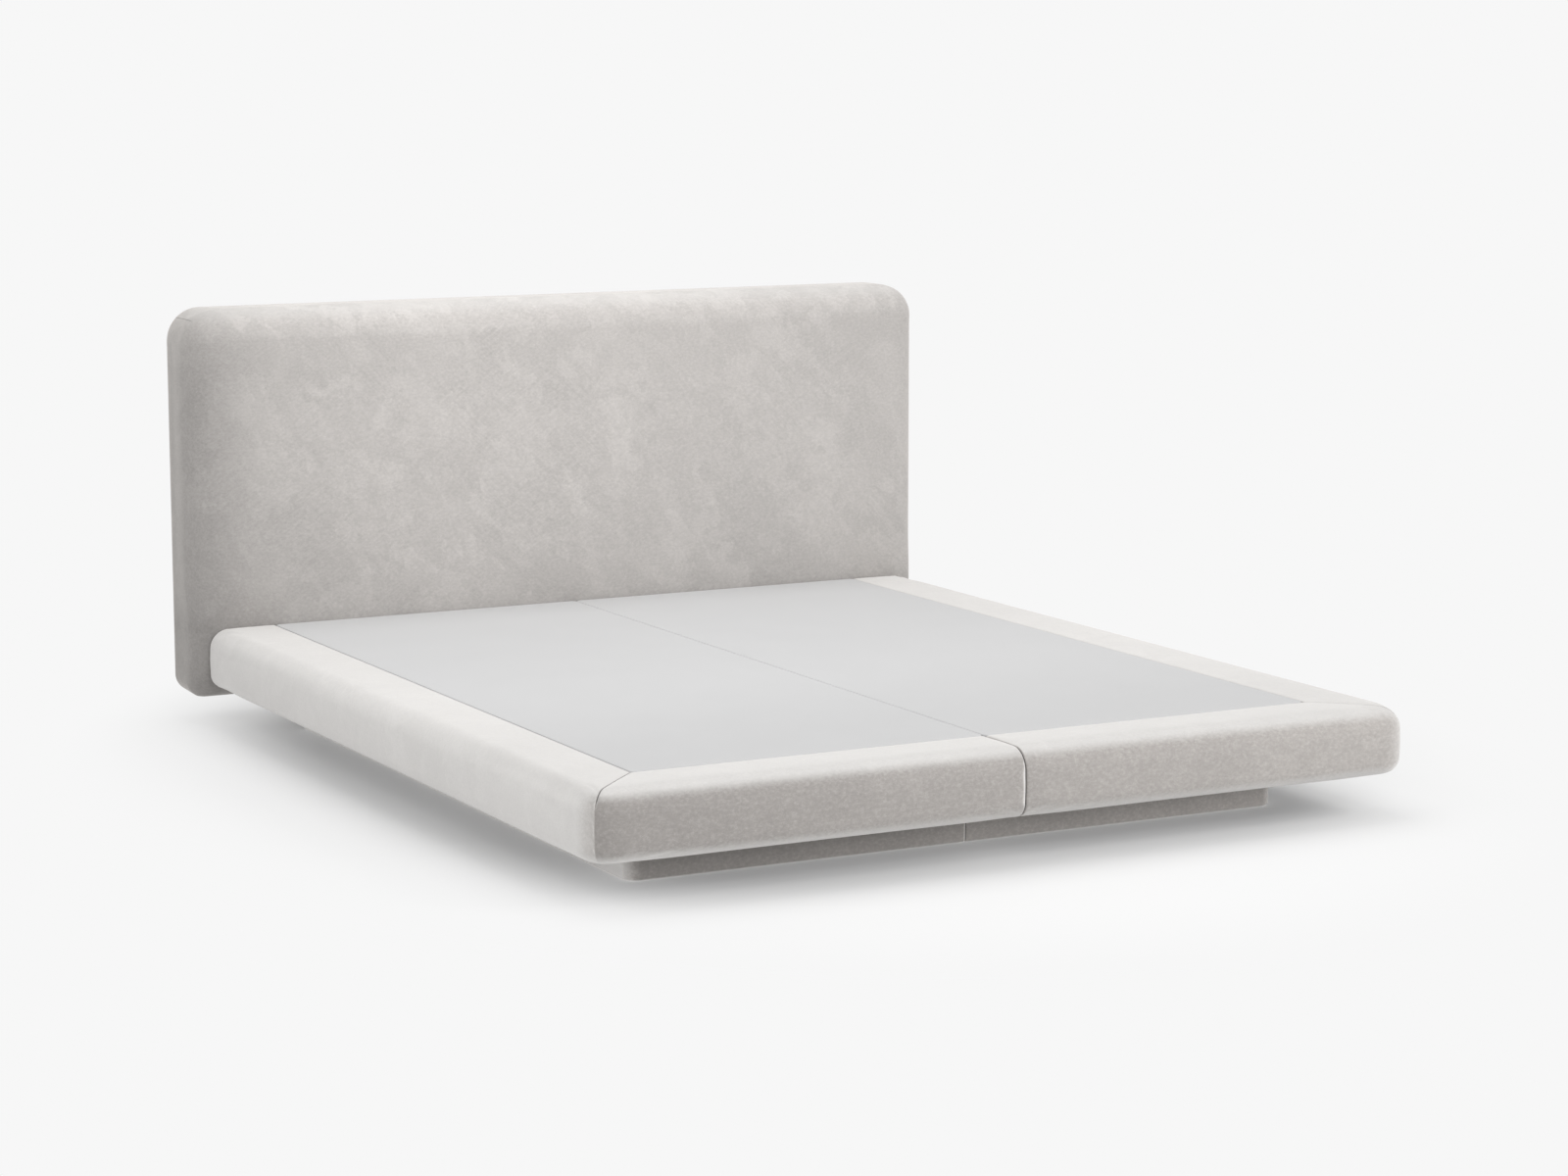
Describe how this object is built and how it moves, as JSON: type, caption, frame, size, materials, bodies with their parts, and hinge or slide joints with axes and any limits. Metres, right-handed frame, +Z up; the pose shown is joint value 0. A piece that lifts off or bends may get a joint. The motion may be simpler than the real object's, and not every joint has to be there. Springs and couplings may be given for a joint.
{
  "type": "upholstered platform bed",
  "caption": "Low upholstered platform bed in separate left and right halves on recessed plinths, with wide rounded borders round a flat mattress deck and a thick padded headboard.",
  "frame": {"origin": "on the floor under the middle of the bed's outline", "axes": "+Z up; +Y towards the headboard; +X to the right, seen from the foot end"},
  "size_m": [2, 2.38, 1.005],
  "materials": {
    "velvet": "light warm-grey velvet, matt, nap brushed",
    "deck_cloth": "pale grey plain-woven cloth, matt",
    "softwood": "planed, unfinished",
    "beech": "smooth laminated slats, clear lacquer",
    "panel_board": "raw board, cut edges",
    "dust_cloth": "thin non-woven lining",
    "steel": "zinc plated, satin",
    "glide_plastic": "moulded, matt"
  },
  "bodies": {
    "root": {"foot_connector_plate": "steel", "headboard_back_cover": "velvet", "headboard_bottom_edge_pad": "velvet", "headboard_bottom_rail": "softwood", "headboard_front_pad": "velvet", "headboard_front_panel": "panel_board", "headboard_left_block": "softwood", "headboard_left_edge_pad": "velvet", "headboard_left_mid_stile": "softwood", "headboard_left_stile": "softwood", "headboard_right_block": "softwood", "headboard_right_edge_pad": "velvet", "headboard_right_mid_stile": "softwood", "headboard_right_stile": "softwood", "headboard_top_edge_pad": "velvet", "headboard_top_rail": "softwood", "left_base_board": "panel_board", "left_centre_rail": "softwood", "left_deck_pad": "deck_cloth", "left_dust_cover": "dust_cloth", "left_foot_border_pad": "velvet", "left_foot_rail": "softwood", "left_glide_foot_inner": "glide_plastic", "left_glide_foot_outer": "glide_plastic", "left_glide_head_inner": "glide_plastic", "left_glide_head_outer": "glide_plastic", "left_head_rail": "softwood", "left_headboard_bolt_inner": "steel", "left_headboard_bolt_outer": "steel", "left_plinth_centre_board": "panel_board", "left_plinth_foot_board": "panel_board", "left_plinth_foot_pad": "velvet", "left_plinth_head_board": "panel_board", "left_plinth_side_board": "panel_board", "left_plinth_side_pad": "velvet", "left_side_border_pad": "velvet", "left_side_rail": "softwood", "left_slat_roll": "beech", "right_base_board": "panel_board", "right_centre_rail": "softwood", "right_deck_pad": "deck_cloth", "right_dust_cover": "dust_cloth", "right_foot_border_pad": "velvet", "right_foot_rail": "softwood", "right_glide_foot_inner": "glide_plastic", "right_glide_foot_outer": "glide_plastic", "right_glide_head_inner": "glide_plastic", "right_glide_head_outer": "glide_plastic", "right_head_rail": "softwood", "right_headboard_bolt_inner": "steel", "right_headboard_bolt_outer": "steel", "right_plinth_centre_board": "panel_board", "right_plinth_foot_board": "panel_board", "right_plinth_foot_pad": "velvet", "right_plinth_head_board": "panel_board", "right_plinth_side_board": "panel_board", "right_plinth_side_pad": "velvet", "right_side_border_pad": "velvet", "right_side_rail": "softwood", "right_slat_roll": "beech"}
  },
  "joints": []
}
